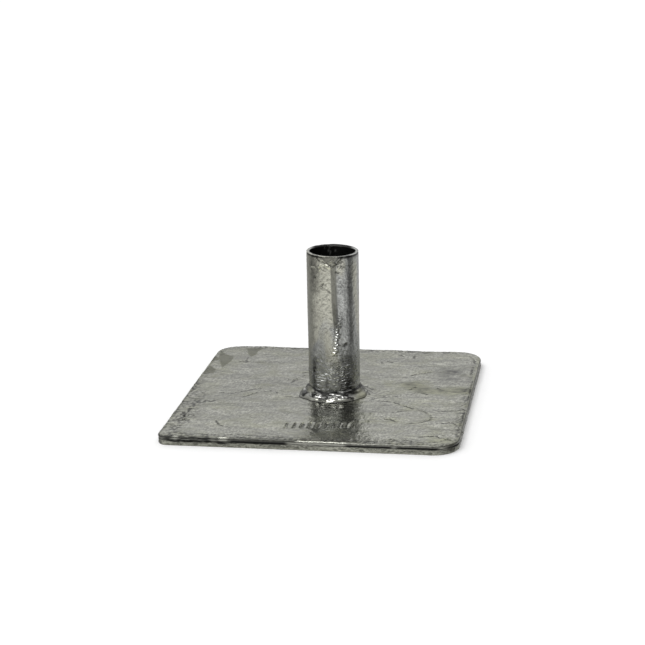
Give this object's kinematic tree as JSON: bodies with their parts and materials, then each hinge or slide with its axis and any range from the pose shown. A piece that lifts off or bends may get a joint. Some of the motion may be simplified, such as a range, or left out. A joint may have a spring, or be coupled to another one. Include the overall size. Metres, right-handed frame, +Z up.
{
  "type": "scaffold base plate",
  "caption": "Square galvanised steel foot plate with rounded corners and a short open tube spigot welded upright near its middle.",
  "frame": {"origin": "middle of the plate on its underside", "axes": "+Z up along the spigot; +X and +Y square to the plate's sides, with the spigot set 3 mm towards +X and 1 mm towards -Y"},
  "size_m": [0.15, 0.15, 0.0823],
  "materials": {
    "plate": "hot-dip galvanised, dull grey with run marks",
    "tube": "hot-dip galvanised, mottled grey with an olive tint",
    "weld": "hot-dip galvanised, bright where zinc has pooled"
  },
  "bodies": {
    "root": {"base_plate": "plate", "spigot_tube": "tube", "fillet_weld": "weld"}
  },
  "joints": []
}
